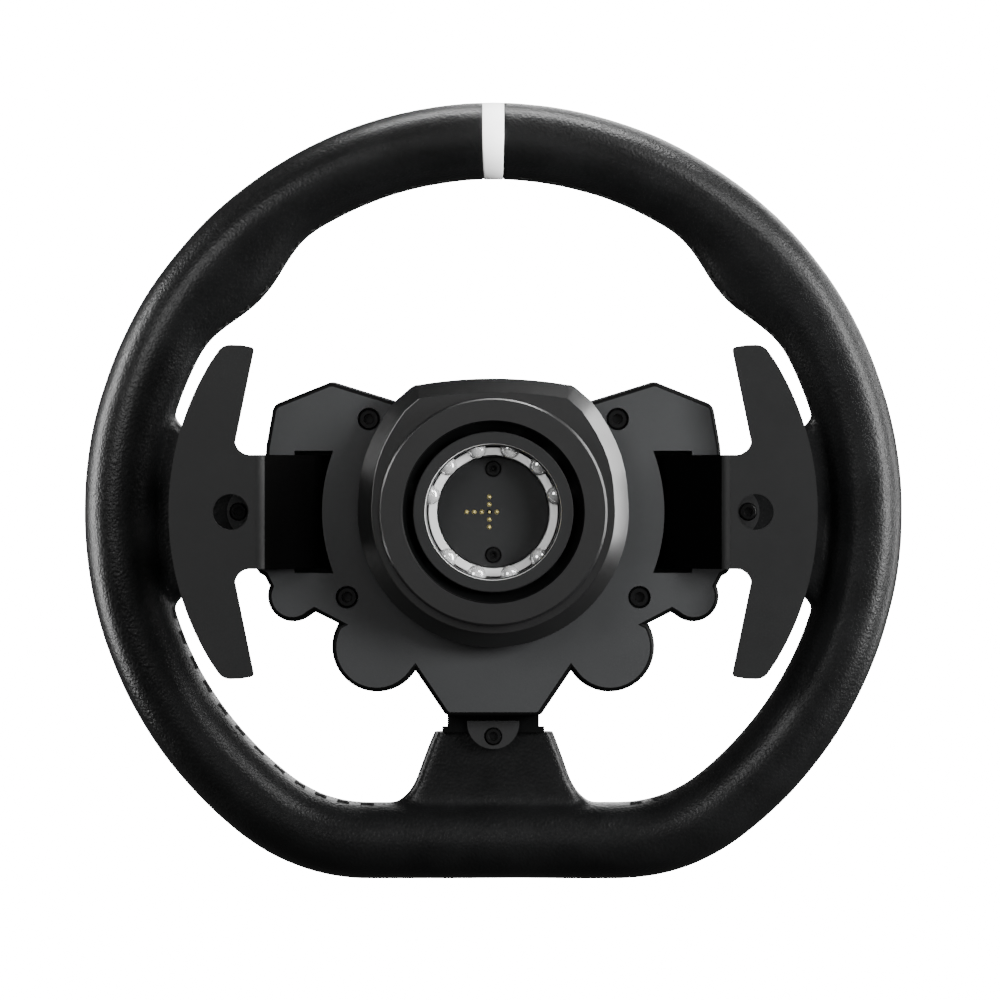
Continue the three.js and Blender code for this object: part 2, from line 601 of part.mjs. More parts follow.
function addPaddles() {
  const half = PADDLE_THICKNESS / 2;
  const slope = (TAIL_Y - BLADE_Y) / (BEND_X - TAIL_BEND_X);
  const across = half * Math.hypot(1, slope);
  const corner = (across - half) / slope;
  const webProfile = new THREE.Shape([
    [BEND_X + 1, BLADE_Y - half], [BEND_X - corner, BLADE_Y - half],
    [TAIL_BEND_X - corner, TAIL_Y - half], [TAIL_END_X, TAIL_Y - half],
    [TAIL_END_X, TAIL_Y + half], [TAIL_BEND_X + corner, TAIL_Y + half],
    [BEND_X + corner, BLADE_Y + half], [BEND_X + 1, BLADE_Y + half],
  ].map(([x, y]) => new THREE.Vector2(x, y)));
  const settings = { depth: WEB_HALF_HEIGHT * 2, bevelEnabled: false };
  const web = solid(new THREE.ExtrudeGeometry(webProfile, settings)
    .translate(0, 0, -WEB_HALF_HEIGHT));
  const blade = plateY(bladeShape(), BLADE_Y - half, BLADE_Y + half)
    .subtract(discY(PADDLE_HOLE.radius, -20, 20, PADDLE_HOLE.x, 0, 20));

  const armPlate = box(47, 57, TAIL_Y + half + CLEARANCE, 22, -14, 14);
  const knuckle = pinZ(3.6, 14).add(armPlate).subtract(pinZ(PIVOT.radius + CLEARANCE, 20))
    .subtract(box(49.7, 60, 10, TAIL_Y + half + CLEARANCE, -20, 20));
  onBothSides((side, move) => {
    addPart(`paddle_${side}`, move(web.add(blade)), blackMetal);
    addPart(`paddle_arm_${side}`, move(knuckle), blackPlastic);
    addPart(`paddle_pin_${side}`, move(pinZ(PIVOT.radius, 18.9)), steel);
    addPart(`paddle_magnet_${side}`, move(discY(3, 14.7, 17.1, 52.4, 0, 16)), steel);
    const switchBody = box(60.6, 68.4, 16.9, FRAME_BACK_Y - CLEARANCE, -5, 5);
    addPart(`paddle_switch_${side}`, move(switchBody), blackPlastic);
  });
}

// ---------------------------------------------------------------- controls

function addControls() {
  onBothSides((side, move) => {
    BUTTON_PLACES.forEach(([x, z], i) => {
      const cap = discY(BUTTON_RADIUS, 40.5, 48.6, x, z, 14)
        .add(discY(BUTTON_FLANGE_RADIUS, 39.4, 41.2, x, z, 14));
      addPart(`button_${side}_${i + 1}`, move(cap), blackPlastic);
    });
    const [x, z] = KNOB_PLACE;
    const knob = discY(KNOB_RADIUS, 46.8, 56, x, z, 20).add(discY(3, 38, 47, x, z, 12));
    const mark = box(x - 0.6, x + 0.6, 55.4, 57, z + 4, z + 9.4);
    addPart(`knob_${side}`, move(knob.subtract(mark)), blackPlastic);
  });
}

addRim();
addSpokeScrews();
addBackCover();
addCoverScrews();
addHubFrame();
addFrontShell();
addFrontTrim();
addMainBoard();
addHubAdapter();
addBallCage();
addBalls();
addContactPlate();
addCollarSpring();
addReleaseCollar();
addPaddles();
addControls();

export default wheel;
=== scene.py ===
# The racing wheel's looks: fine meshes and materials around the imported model. Lengths are in
# millimetres unless a name ends in _m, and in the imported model's frame: the back of the wheel
# faces -Y and +Z is up.
import math

import bmesh
import bpy
from mathutils import Matrix, Vector, noise


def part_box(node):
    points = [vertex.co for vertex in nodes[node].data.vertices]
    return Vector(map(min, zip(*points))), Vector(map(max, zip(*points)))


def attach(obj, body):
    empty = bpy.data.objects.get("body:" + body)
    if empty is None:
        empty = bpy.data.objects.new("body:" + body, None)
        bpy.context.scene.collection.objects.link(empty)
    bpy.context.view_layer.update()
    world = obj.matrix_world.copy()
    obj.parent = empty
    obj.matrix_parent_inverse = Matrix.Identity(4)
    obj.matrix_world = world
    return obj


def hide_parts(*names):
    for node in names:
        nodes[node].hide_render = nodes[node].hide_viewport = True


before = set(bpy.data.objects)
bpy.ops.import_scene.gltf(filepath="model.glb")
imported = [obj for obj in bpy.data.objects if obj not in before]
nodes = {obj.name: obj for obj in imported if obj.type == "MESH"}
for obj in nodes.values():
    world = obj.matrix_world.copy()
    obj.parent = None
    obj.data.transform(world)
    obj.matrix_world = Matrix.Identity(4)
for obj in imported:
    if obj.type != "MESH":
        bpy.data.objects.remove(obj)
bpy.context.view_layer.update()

MM = 0.001
FULL_TURN = 2 * math.pi
SIDES = {"left": -1, "right": 1}


def span(node):
    """Lowest and highest corner of a CAD node, in millimetres."""
    low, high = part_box(node)
    return [value / MM for value in low], [value / MM for value in high]


def span_y(node):
    """Where a CAD node starts and ends along Y."""
    low, high = span(node)
    return low[1], high[1]


def middle_xz(node):
    """The middle of a CAD node in X and Z."""
    low, high = span(node)
    return (low[0] + high[0]) / 2, (low[2] + high[2]) / 2


# Rim: a circle with a flat bottom and two round corners, as in the CAD model.
RIM_RADIUS = 127
RIM_CORNER_RADIUS = 54.8
RIM_CORNER = (43.3, -57.7)
RIM_CORNER_ANGLE = math.atan2(-RIM_CORNER[1], RIM_CORNER[0])
GRIP_HALF_WIDTH = 12.9
GRIP_HALF_DEPTH = 15
GRIP_LOW, GRIP_HIGH = span("leather_grip")
RIM_MIDDLE_Y = (GRIP_LOW[1] + GRIP_HIGH[1]) / 2
THUMB_BULGE = {"height": 6.2, "angle": 43, "spread": 15}
STITCH = {"reach": 12, "seam_turn": 0.27, "spread": 0.12, "sunk": -0.5, "lift": 0.75, "radius": 0.38}
SPOKE_HALF_WIDTH = 20.2
SPOKE_SPARE = 4
GRIP_SPARE = 0.25
SPOKE_HALF_THICKNESS = 5.7
BOTTOM_SPOKE_END = 75.3
BOTTOM_SPOKE_ROOT = 112
SIDE_SPOKE_END = 85.6
SIDE_SPOKE_ROOT = 122
STRIPE_HALF_WIDTH = span("centre_stripe")[1][0]

# Hub.
COVER_BACK_Y, COVER_EDGE_Y = span_y("back_cover")
FRAME_Y = span_y("hub_frame")
SHELL_Y = span_y("front_shell")
SHELL_WALL = 2.4
CLEARANCE = 0.3
COVER_EDGE_RADIUS = 1.3
COVER_SCREWS = [(42.1, 31.4), (49.5, -28.9)]
POCKET = {"radius": 58, "outer_x": 67.2, "half_height": 20.6}
SPOKE_SCREWS = [(0, -76.5), (86.8, 0), (-86.8, 0)]
TAB_RADIUS = 8.9
FRAME_ARM_HALF = 15.6
EAR_RADIUS = 5.5
COVER_SCREW_HOLE = 2.3
SMALL_SCREW_HOLE = 1.8
BUTTON_HOLE = 5.1
KNOB_SHAFT_RADIUS = 3
KNOB_SHAFT_HOLE = 3.4
BADGE_SEAT_RADIUS = 17

# Quick release.
COLLAR_Y = span_y("release_collar")
COLLAR_FACE_Y = -2
COLLAR_RADII = {"bore": 25.4, "mouth": 30.2, "ring": 37.9, "flange": 45.6}
COLLAR_RAMP_Y = (-13.3, -6.8)
CAGE = {"inner": 22.2, "outer": 24.9, "flange": 26.8}
CAGE_Y = span_y("ball_cage")
BALL_Y = -8
BALL_RADIUS = 3.3
BALL_CENTRE_RADIUS = 21.9
BALL_ANGLES = [15, 45, 75, 105, 135, 165, 225, 255, 285, 315]
PIN_PITCH = 2.54
PLATE_SCREW_Z = 14.5

# Paddles.
BLADE_Y = (-6, -4)
BEND_X = 78.4
WEB_HALF_HEIGHT = 19.15
TAIL_Y = 18.4
TAIL_BEND_X = 56
TAIL_END_X = 50.2
PADDLE_HOLE = (87.9, 6.0)

FLOOR_Z = -300


# ------------------------------------------------------------------ mesh helpers

def new_object(name, mesh):
    obj = bpy.data.objects.new(name, mesh)
    bpy.context.scene.collection.objects.link(obj)
    return obj


def mesh_of(name, points, faces):
    """A mesh object from points in millimetres, with its faces turned outwards."""
    mesh = bpy.data.meshes.new(name)
    mesh.from_pydata([Vector(p) * MM for p in points], [], faces)
    bm = bmesh.new()
    bm.from_mesh(mesh)
    bmesh.ops.recalc_face_normals(bm, faces=bm.faces)
    bm.to_mesh(mesh)
    bm.free()
    return new_object(name, mesh)


def apply_modifiers(obj):
    """Bakes an object's modifiers into its mesh."""
    graph = bpy.context.evaluated_depsgraph_get()
    baked = bpy.data.meshes.new_from_object(obj.evaluated_get(graph))
    old = obj.data
    obj.modifiers.clear()
    obj.data = baked
    bpy.data.meshes.remove(old)


def boolean(obj, others, operation):
    """Cuts others from obj, or joins them to it, and removes them."""
    for other in others:
        step = obj.modifiers.new("step", "BOOLEAN")
        step.operation = operation
        step.solver = "EXACT"
        step.object = other
        bpy.context.view_layer.update()
        apply_modifiers(obj)
        bpy.data.objects.remove(other)


def cut(obj, *cutters):
    boolean(obj, cutters, "DIFFERENCE")


def join(obj, *others):
    boolean(obj, others, "UNION")


def soften(obj, width, segments=2, angle=35):
    """Rounds the sharp edges and smooths what lies between them."""
    bevel = obj.modifiers.new("bevel", "BEVEL")
    bevel.width = width * MM
    bevel.segments = segments
    bevel.limit_method = "ANGLE"
    bevel.angle_limit = math.radians(angle)
    bevel.miter_outer = "MITER_ARC"
    bevel.use_clamp_overlap = True
    bpy.context.view_layer.update()
    apply_modifiers(obj)
    smooth_by_angle(obj, angle)
    flatten_shading(obj)


def mark_sharp_edges(bm, angle):
    """Smooth shading everywhere but across the edges steeper than an angle."""
    limit = math.radians(angle)
    for face in bm.faces:
        face.smooth = True
    for edge in bm.edges:
        edge.smooth = len(edge.link_faces) == 2 and edge.calc_face_angle(0) < limit


def smooth_by_angle(obj, angle=35):
    """Welds the points that lie on each other and smooths the gentle edges."""
    bm = bmesh.new()
    bm.from_mesh(obj.data)
    bmesh.ops.remove_doubles(bm, verts=bm.verts, dist=1e-6)
    mark_sharp_edges(bm, angle)
    bm.to_mesh(obj.data)
    bm.free()


def flatten_shading(obj):
    """Lets the large flat faces decide the shading, so only the rounded edges look round."""
    normals = obj.modifiers.new("normals", "WEIGHTED_NORMAL")
    normals.keep_sharp = True
    normals.weight = 100
    bpy.context.view_layer.update()
    apply_modifiers(obj)


def move(obj, x, y, z):
    """Shifts an object's mesh."""
    obj.data.transform(Matrix.Translation((x * MM, y * MM, z * MM)))


def turn_about(obj, axis, angle):
    """Turns an object's mesh by an angle in degrees."""
    obj.data.transform(Matrix.Rotation(math.radians(angle), 4, axis))


def arc(x, z, radius, start, end, steps):
    """Points on an arc, from one angle to another in degrees, in X and Z."""
    angles = [math.radians(start + (end - start) * i / steps) for i in range(steps + 1)]
    return [(x + radius * math.cos(a), z + radius * math.sin(a)) for a in angles]


def shrunk(outline, distance):
    """An outline moved inwards along every edge."""
    count = len(outline)
    area = sum(a[0] * b[1] - b[0] * a[1] for a, b in zip(outline, outline[1:] + outline[:1]))
    turn = 1 if area > 0 else -1
    moved = []
    for i, (x, z) in enumerate(outline):
        before, after = outline[i - 1], outline[(i + 1) % count]
        edges = [Vector((x - before[0], z - before[1])), Vector((after[0] - x, after[1] - z))]
        normals = [Vector((-e.y, e.x)).normalized() * turn for e in edges]
        middle = (normals[0] + normals[1]).normalized()
        reach = distance / max(middle.dot(normals[0]), 0.5)
        moved.append((x + middle.x * reach, z + middle.y * reach))
    return moved


def ring_faces(rings, sides, closed=True):
    """Quads between neighbouring rings of points, and from the last to the first if closed."""
    faces = []
    for i in range(rings if closed else rings - 1):
        here, there = i * sides, (i + 1) % rings * sides
        for j in range(sides):
            k = (j + 1) % sides
            faces.append((here + j, here + k, there + k, there + j))
    return faces


def stacked(name, layers):
    """Outlines of the same number of points, one behind the other, as one solid."""
    count = len(layers[0][0])
    points = [(x, y, z) for outline, y in layers for x, z in outline]
    faces = [tuple(range(count)), tuple(range(len(points) - 1, len(points) - count - 1, -1))]
    for level in range(len(layers) - 1):
        start = level * count
        for i in range(count):
            k = (i + 1) % count
            faces.append((start + i, start + k, start + count + k, start + count + i))
    return mesh_of(name, points, faces)


def rounded(name, outline, y_range, radius, steps=4):
    """An outline thickened along Y, whose edge at the first end is round."""
    start, end = y_range
    way = 1 if end > start else -1
    layers = []
    for i in range(steps + 1):
        turn = math.pi / 2 * i / steps
        level = start + way * radius * (1 - math.cos(turn))
        layers.append((shrunk(outline, radius * (1 - math.sin(turn))), level))
    return stacked(name, layers + [(outline, end)])


def prism(name, outline, y_range):
    """An outline in X and Z, thickened along Y."""
    count = len(outline)
    points = [(x, y, z) for y in y_range for x, z in outline]
    sides = [(i, (i + 1) % count, (i + 1) % count + count, i + count) for i in range(count)]
    caps = [tuple(range(count)), tuple(range(2 * count - 1, count - 1, -1))]
    return mesh_of(name, points, sides + caps)


def disc(name, x, z, radius, y_range, sides=64):
    return prism(name, arc(x, z, radius, 0, 360 - 360 / sides, sides - 1), y_range)


def block(name, x_range, y_range, z_range):
    (x0, x1), (z0, z1) = x_range, z_range
    return prism(name, [(x0, z0), (x1, z0), (x1, z1), (x0, z1)], y_range)


def lathe(name, profile, sides=128):
    """A closed profile of radius and height, turned about the Y axis."""
    points = []
    for i in range(sides):
        turn = FULL_TURN * i / sides
        points += [(r * math.cos(turn), y, r * math.sin(turn)) for r, y in profile]
    return mesh_of(name, points, ring_faces(sides, len(profile)))


def turned(name, profile, sides=128):
    """A lathe whose profile starts and ends on the axis."""
    rim = profile[1:-1]
    points = []
    for i in range(sides):
        turn = FULL_TURN * i / sides
        points += [(r * math.cos(turn), y, r * math.sin(turn)) for r, y in rim]
    first, last = len(points), len(points) + 1
    points += [(0, profile[0][1], 0), (0, profile[-1][1], 0)]
    count = len(rim)
    faces = []
    for i in range(sides):
        here, there = i * count, (i + 1) % sides * count
        faces.append((first, here, there))
        faces.append((last, there + count - 1, here + count - 1))
        faces += [(here + j, here + j + 1, there + j + 1, there + j) for j in range(count - 1)]
    return mesh_of(name, points, faces)


def tube(name, path, radius, sides):
    """A round thread along a list of points, with flat ends."""
    points = []
    path = [Vector(p) for p in path]
    count = len(path)
    side = None
    for i, here in enumerate(path):
        before = path[i - 1] if i else here
        after = path[i + 1] if i < count - 1 else here
        along = (after - before).normalized()
        if side is None:
            side = along.orthogonal().normalized()
        side = (side - along * side.dot(along)).normalized()
        other = along.cross(side)
        for j in range(sides):
            turn = FULL_TURN * j / sides
            points.append(here + (side * math.cos(turn) + other * math.sin(turn)) * radius)
    ends = [tuple(range(sides)), tuple(range((count - 1) * sides, count * sides))]
    return mesh_of(name, points, ring_faces(count, sides, closed=False) + ends)


def merged(name, parts):
    """Joins several mesh objects into one without cutting them."""
    bm = bmesh.new()
    for part in parts:
        bm.from_mesh(part.data)
        bpy.data.objects.remove(part)
    mesh = bpy.data.meshes.new(name)
    bm.to_mesh(mesh)
    bm.free()
    return new_object(name, mesh)


def mirror(obj, sign):
    """Leaves the object as it is on the right, and mirrors it in X on the left."""
    if sign < 0:
        obj.data.transform(Matrix.Scale(-1, 4, (1, 0, 0)))
        obj.data.flip_normals()


def paint(obj, material, chosen):
    """Gives a second material to the faces that chosen picks by their centre and normal."""
    obj.data.materials.append(material)
    index = len(obj.data.materials) - 1
    for face in obj.data.polygons:
        if chosen(face.center / MM, face.normal):
            face.material_index = index


def place(obj, body, slot, material, *replaced):
    """Gives a piece its material and its body, and hides the CAD nodes that it stands for."""
    obj.data.materials.clear()
    obj.data.materials.append(material)
    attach(obj, body)
    if replaced:
        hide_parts(*replaced)


# ------------------------------------------------------------------ materials

class Surface:
    """A principled material with short names for the nodes that these surfaces use."""

    def __init__(self, name, color, roughness, **sockets):
        self.material = bpy.data.materials.new(name)
        self.material.use_nodes = True
        self.tree = self.material.node_tree
        self.shader = self.tree.nodes["Principled BSDF"]
        self.set("Base Color", (*color, 1))
        self.set("Roughness", roughness)
        for socket, value in sockets.items():
            self.set(socket.replace("_", " "), value)
        self.place = self.node("ShaderNodeTexCoord").outputs["Object"]
        self.height = None

    def set(self, socket, value):
        self.shader.inputs[socket].default_value = value

    def node(self, kind, **settings):
        made = self.tree.nodes.new(kind)
        for key, value in settings.items():
            setattr(made, key, value)
        return made

    def link(self, output, target):
        self.tree.links.new(output, target)

    def noise(self, scale, detail=4, stretch=None):
        made = self.node("ShaderNodeTexNoise")
        made.inputs["Scale"].default_value = scale
        made.inputs["Detail"].default_value = detail
        source = self.place
        if stretch:
            mapping = self.node("ShaderNodeMapping")
            mapping.inputs["Scale"].default_value = stretch
            self.link(source, mapping.inputs["Vector"])
            source = mapping.outputs["Vector"]
        self.link(source, made.inputs["Vector"])
        return made.outputs["Fac"]

    def cells(self, scale, feature="SMOOTH_F1"):
        made = self.node("ShaderNodeTexVoronoi", feature=feature)
        made.inputs["Scale"].default_value = scale
        self.link(self.place, made.inputs["Vector"])
        return made.outputs["Distance"]

    def remap(self, source, low, high, new_low, new_high):
        made = self.node("ShaderNodeMapRange")
        for socket, value in zip(("From Min", "From Max", "To Min", "To Max"),
                                 (low, high, new_low, new_high)):
            made.inputs[socket].default_value = value
        self.link(source, made.inputs["Value"])
        return made.outputs["Result"]

    def bump(self, source, depth, strength=1.0):
        """Adds a bump of a depth in millimetres on top of those before it."""
        made = self.node("ShaderNodeBump")
        made.inputs["Distance"].default_value = depth * MM
        made.inputs["Strength"].default_value = strength
        self.link(source, made.inputs["Height"])
        if self.height:
            self.link(self.height, made.inputs["Normal"])
        self.height = made.outputs["Normal"]
        self.link(self.height, self.shader.inputs["Normal"])

    def shade(self, source, dark, light, low=0.3, high=0.7):
        """Varies the base colour between two colours."""
        ramp = self.node("ShaderNodeValToRGB")
        ramp.color_ramp.elements[0].position = low
        ramp.color_ramp.elements[1].position = high
        ramp.color_ramp.elements[0].color = (*dark, 1)
        ramp.color_ramp.elements[1].color = (*light, 1)
        self.link(source, ramp.inputs["Fac"])
        self.link(ramp.outputs["Color"], self.shader.inputs["Base Color"])

    def rough(self, source, new_low, new_high, low=0.3, high=0.7):
        self.link(self.remap(source, low, high, new_low, new_high),
                  self.shader.inputs["Roughness"])


def grey(value, tint=0.0):
    return (value, value * (1 + tint / 2), value * (1 + tint))


def leather_material():
    surface = Surface("grip_leather", grey(0.003), 0.36, Specular_IOR_Level=0.3)
    surface.shade(surface.noise(60), grey(0.0022, 0.06), grey(0.0042, 0.06))
    surface.rough(surface.noise(900, 2), 0.30, 0.42)
    surface.bump(surface.noise(55, 3), 0.30, 0.5)
    surface.bump(surface.cells(1150), 0.14, 0.8)
    surface.bump(surface.noise(2600, 3), 0.06, 0.7)
    return surface.material


def stripe_material():
    surface = Surface("stripe_leather", grey(0.95), 0.5)
    surface.shade(surface.noise(200), grey(0.93), grey(0.97))
    surface.bump(surface.cells(1300), 0.04, 0.5)
    return surface.material


def thread_material():
    surface = Surface("stitch_thread", grey(0.005), 0.6)
    surface.bump(surface.noise(3000, 2, (1, 6, 1)), 0.05)
    surface.shade(surface.noise(400), grey(0.003), grey(0.007))
    return surface.material


def plastic_material(name, value, roughness, grain=0.03, scale=2200, tint=0.06):
    surface = Surface(name, grey(value, tint), roughness)
    surface.shade(surface.noise(35), grey(value * 0.92, tint), grey(value * 1.06, tint))
    surface.rough(surface.noise(500, 3), roughness - 0.04, roughness + 0.05)
    surface.bump(surface.noise(scale, 3), grain, 0.6)
    return surface.material


def coated_metal_material(name, value, roughness, grain=0.02, metallic=0.0, tint=0.04, shine=0.5):
    surface = Surface(name, grey(value, tint), roughness, Metallic=metallic,
                      Specular_IOR_Level=shine)
    surface.shade(surface.noise(80), grey(value * 0.93, tint), grey(value * 1.07, tint))
    surface.rough(surface.noise(300, 3), roughness - 0.01, roughness + 0.02)
    surface.bump(surface.noise(3200, 2), grain, 0.5)
    return surface.material


def bright_metal_material(name, color, roughness, metallic=1.0):
    surface = Surface(name, color, roughness, Metallic=metallic)
    surface.rough(surface.noise(900, 2), roughness * 0.8, roughness * 1.3)
    surface.bump(surface.noise(1500, 2), 0.001, 0.2)
    return surface.material


def board_material():
    # A green board, darkened almost to black as painted shade inside the housing.
    surface = Surface("board", (0.003, 0.010, 0.006), 0.4)
    surface.shade(surface.cells(420, "F1"), (0.002, 0.008, 0.004), (0.004, 0.014, 0.008))
    surface.bump(surface.cells(420, "F1"), 0.05, 0.4)
    return surface.material


def lens_material():
    surface = Surface("light_lens", grey(0.02), 0.12, Coat_Weight=0.6)
    surface.bump(surface.noise(300, 2), 0.02, 0.3)
    surface.shade(surface.noise(150), grey(0.015), grey(0.03))
    return surface.material


leather = leather_material()
stripe_white = stripe_material()
thread = thread_material()
shell_plastic = plastic_material("shell_plastic", 0.020, 0.44)
button_plastic = plastic_material("button_plastic", 0.030, 0.42, 0.02)
knob_plastic = plastic_material("knob_plastic", 0.024, 0.40, 0.02)
badge_plastic = plastic_material("badge_plastic", 0.018, 0.25, 0.01)
plate_plastic = plastic_material("plate_plastic", 0.010, 0.42, 0.02)
arm_plastic = plastic_material("arm_plastic", 0.003, 0.6)
collar_metal = coated_metal_material("collar_metal", 0.0045, 0.30, 0.003, shine=1.0)
cage_metal = coated_metal_material("cage_metal", 0.008, 0.42)
frame_metal = coated_metal_material("frame_metal", 0.010, 0.32, 0.008, shine=0.8)
# Near-black coat for painted shade: the back cover's rounded edge and pocket walls, the frame behind
# its tab and the collar's bore.
painted_shade_black = coated_metal_material("painted_shade_black", 0.0015, 0.5, shine=0.12)
paddle_metal = coated_metal_material("paddle_metal", 0.0052, 0.48, 0.03)
# Near-black coat for painted shade on the paddles' sloping webs.
web_painted_shade = coated_metal_material("paddle_web_painted_shade", 0.0006, 0.7, 0.03, shine=0.04)
adapter_metal = coated_metal_material("adapter_metal", 0.03, 0.4)
screw_steel = coated_metal_material("screw_steel", 0.0025, 0.32, 0.01, shine=0.3)
core_metal = coated_metal_material("core_metal", 0.25, 0.4, 0.02, 1.0)
bright_steel = bright_metal_material("bright_steel", grey(0.80), 0.10)
ball_steel = bright_metal_material("ball_steel", grey(0.90), 0.14, 0.75)
# Half metallic with a white base: the diffuse white is a painted reflection that makes the polished
# steel look bright, the metallic half is real shine.
ring_steel = bright_metal_material("ring_steel", grey(0.9), 0.15, 0.55)
pin_gold = bright_metal_material("pin_gold", (0.80, 0.68, 0.28), 0.22, 0.6)
marking_white = plastic_material("marking_white", 0.7, 0.5)


# ------------------------------------------------------------------ rim

def rim_stations(count):
    """(x, z, outward x, outward z) at even steps along the rim's middle line."""
    corner_x, corner_z = RIM_CORNER
    turn = math.pi / 2 - RIM_CORNER_ANGLE
    arcs = [
        ((0, 0), RIM_RADIUS, -RIM_CORNER_ANGLE, math.pi + 2 * RIM_CORNER_ANGLE),
        ((-corner_x, corner_z), RIM_CORNER_RADIUS, math.pi + RIM_CORNER_ANGLE, turn),
        None,
        ((corner_x, corner_z), RIM_CORNER_RADIUS, -math.pi / 2, turn),
    ]
    lengths = [2 * corner_x if a is None else a[1] * a[3] for a in arcs]
    step = sum(lengths) / count
    stations = []
    for i in range(count):
        way = i * step
        index = 0
        while way > lengths[index]:
            way -= lengths[index]
            index += 1
        if arcs[index] is None:
            stations.append((-corner_x + way, corner_z - RIM_CORNER_RADIUS, 0.0, -1.0))
            continue
        (cx, cz), radius, start, _ = arcs[index]
        angle = start + way / radius
        out_x, out_z = math.cos(angle), math.sin(angle)
        stations.append((cx + radius * out_x, cz + radius * out_z, out_x, out_z))
    return stations


def thumb_bulge(x, z):
    """How far the thumb rest stands inwards at a point of the rim."""
    angle = math.degrees(math.atan2(z, abs(x)))
    reach = abs(angle - THUMB_BULGE["angle"]) / THUMB_BULGE["spread"]
    return THUMB_BULGE["height"] * math.cos(reach * math.pi / 2) ** 2 if reach < 1 else 0.0


def grip_point(station, turn, extra=0.0):
    """A point on the grip's skin: turn 0 is the outside of the rim, and pi the inside."""
    x, z, out_x, out_z = station
    across, deep = math.cos(turn), math.sin(turn)
    inner = thumb_bulge(x, z) * abs(across) if across < 0 else 0.0
    radial = (GRIP_HALF_WIDTH + extra + inner) * across
    depth = (GRIP_HALF_DEPTH + extra) * deep
    return (x + out_x * radial, RIM_MIDDLE_Y + depth, z + out_z * radial)


def spoke_outline(end, root, reach):
    """A spoke pointing down: its free end, its widening sides, and its root inside the rim."""
    half = SPOKE_HALF_WIDTH
    side = [(half - 1.5, -end), (half, -end - SPOKE_SPARE), (half + 1.5, -end - 7.5)]
    side += [(half + 3.9, -end - 14), (half + 6.3, -end - 20.7), (half + 8.6, -end - 24.6)]
    side += [(half + 12, -end - 27.6), (half + 18, -end - 29.6), (half + reach, -root)]
    return side + [(-x, z) for x, z in reversed(side)]


def trim_spokes(grip):
    """Cuts the three spokes off square, with a crisp edge, where the leather ends."""
    bm = bmesh.new()
    bm.from_mesh(grip.data)
    ends = [((0, 0, -1), BOTTOM_SPOKE_END), ((1, 0, 0), SIDE_SPOKE_END), ((-1, 0, 0), SIDE_SPOKE_END)]
    for direction, end in ends:
        outward = Vector(direction)
        across = Vector((outward.z, 0, -outward.x))
        near = [face for face in bm.faces
                if abs(face.calc_center_median().dot(across)) < 32 * MM
                and 0 < face.calc_center_median().dot(outward) < (end + 8) * MM]
        geometry = dict.fromkeys(near)
        for face in near:
            geometry.update(dict.fromkeys([*face.verts, *face.edges]))
        bmesh.ops.bisect_plane(bm, geom=list(geometry), plane_co=outward * end * MM,
                               plane_no=-outward, clear_outer=True)
    rims = [edge for edge in bm.edges if edge.is_boundary]
    bmesh.ops.holes_fill(bm, edges=rims, sides=0)
    mark_sharp_edges(bm, 50)
    bm.to_mesh(grip.data)
    bm.free()


def make_grip():
    """The rim's tube and the three spokes, melted into one skin by a voxel remesh."""
    sides, count = 48, 300
    points = [grip_point(station, FULL_TURN * j / sides, GRIP_SPARE)
              for station in rim_stations(count) for j in range(sides)]
    parts = [mesh_of("ring", points, ring_faces(count, sides))]
    y_range = (RIM_MIDDLE_Y - SPOKE_HALF_THICKNESS, RIM_MIDDLE_Y + SPOKE_HALF_THICKNESS)
    for end, angle, root in ((BOTTOM_SPOKE_END, 0, BOTTOM_SPOKE_ROOT),
                             (SIDE_SPOKE_END, 90, SIDE_SPOKE_ROOT),
                             (SIDE_SPOKE_END, -90, SIDE_SPOKE_ROOT)):
        pad = prism("pad", spoke_outline(end - SPOKE_SPARE, root, 20), y_range)
        soften(pad, 3.2, 4, 60)
        turn_about(pad, "Y", angle)
        parts.append(pad)
    grip = merged("grip_leather_cover", parts)
    remesh = grip.modifiers.new("remesh", "REMESH")
    remesh.mode = "VOXEL"
    remesh.voxel_size = 1.1 * MM
    bpy.context.view_layer.update()
    apply_modifiers(grip)
    smooth = grip.modifiers.new("smooth", "SMOOTH")
    smooth.factor = 0.5
    smooth.iterations = 14
    bpy.context.view_layer.update()
    apply_modifiers(grip)
    shape_grip_skin(grip)
    trim_spokes(grip)
    place(grip, "hub", "grip_leather", leather, "leather_grip")


def shape_grip_skin(grip):
    """Sinks the stripe's bed, and lets the leather lie a little uneven."""
    normals = [vertex.normal.copy() for vertex in grip.data.vertices]
    moved = []
    for vertex, normal in zip(grip.data.vertices, normals):
        point = vertex.co / MM
        radius = math.hypot(point.x, point.z)
        if point.z > 100 and abs(point.x) < STRIPE_HALF_WIDTH - 0.4:
            scale = RIM_RADIUS / radius
            middle = Vector((point.x * scale, RIM_MIDDLE_Y, point.z * scale))
            point += (middle - point).normalized() * 0.8
        else:
            point += normal * (noise.noise(point / 24) * 0.22 + noise.noise(point / 7) * 0.05)
        moved += list(point * MM)
    grip.data.vertices.foreach_set("co", moved)
    grip.data.update()


def make_stripe():
    """The white band: an outer skin and an inner one, joined at both edges."""
    sides = 64
    across = [-1, -0.94, -0.8, 0, 0.8, 0.94, 1]
    lift = [-0.35, 0.05, 0.22, 0.26, 0.22, 0.05, -0.35]
    loops = list(zip(across, lift)) + [(u, -1.2) for u in reversed(across)]
    points = []
    for u, extra in loops:
        angle = math.pi / 2 - u * STRIPE_HALF_WIDTH / RIM_RADIUS
        out = (math.cos(angle), math.sin(angle))
        station = (RIM_RADIUS * out[0], RIM_RADIUS * out[1], *out)
        points += [grip_point(station, FULL_TURN * j / sides, extra) for j in range(sides)]
    stripe = mesh_of("twelve_o_clock_stripe", points, ring_faces(len(loops), sides))
    smooth_by_angle(stripe, 50)
    place(stripe, "hub", "stripe_leather", stripe_white, "centre_stripe")


